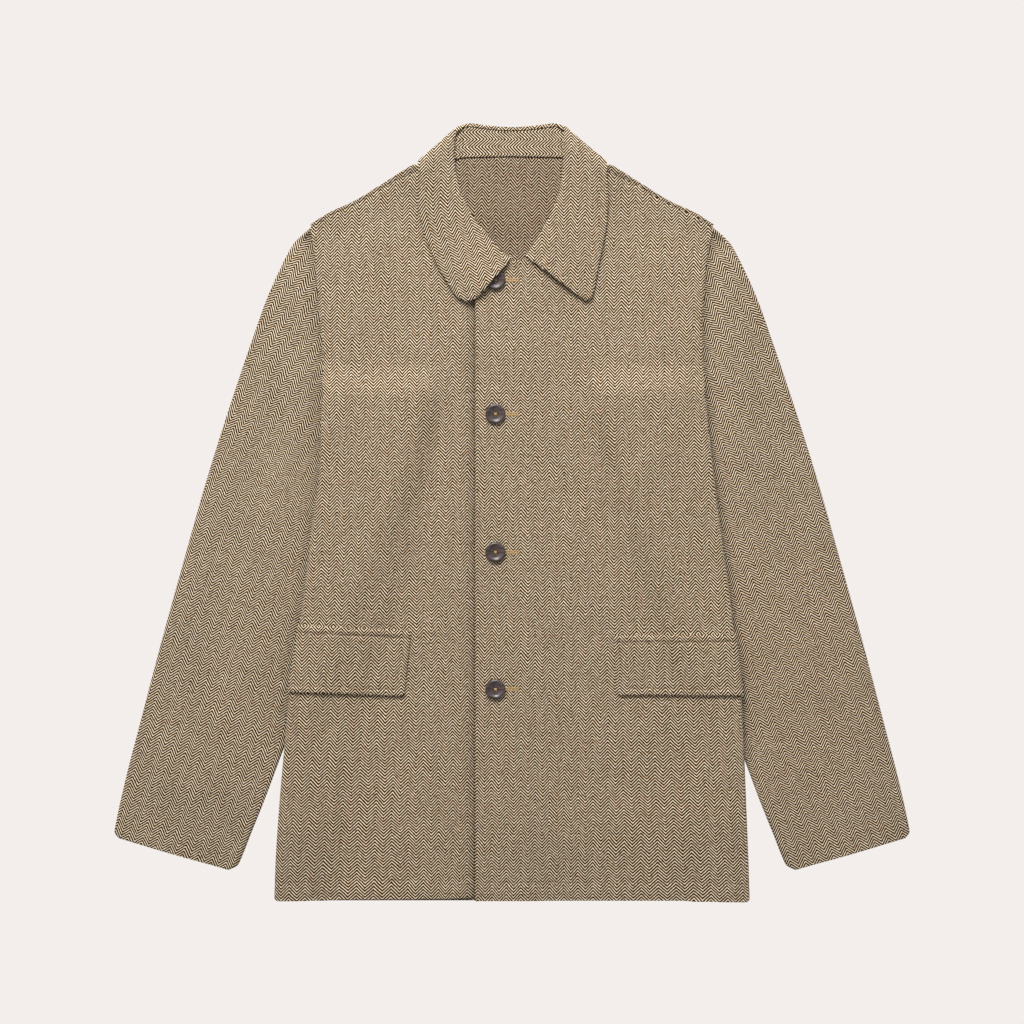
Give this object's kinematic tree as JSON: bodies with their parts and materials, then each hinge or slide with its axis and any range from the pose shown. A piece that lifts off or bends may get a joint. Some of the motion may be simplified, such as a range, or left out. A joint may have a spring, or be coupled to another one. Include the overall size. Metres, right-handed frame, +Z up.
{
  "type": "work jacket",
  "caption": "Wool herringbone work jacket, buttoned and laid flat on its back, with a rounded collar, flap pockets and horn buttons.",
  "frame": {"origin": "centre of the jacket's outline, on the surface it lies on", "axes": "+X to the wearer's left, +Y towards the collar, +Z up through the front"},
  "size_m": [0.796, 0.7788, 0.0173],
  "materials": {
    "wool": "matte",
    "horn": "satin"
  },
  "bodies": {
    "root": {"back": "wool", "sleeve_right": "wool", "sleeve_left": "wool", "front_right": "wool", "front_left": "wool", "collar_stand": "wool", "collar_fall": "wool", "flap_right": "wool", "flap_left": "wool", "button_1": "horn", "button_2": "horn", "button_3": "horn", "button_4": "horn"}
  },
  "joints": []
}
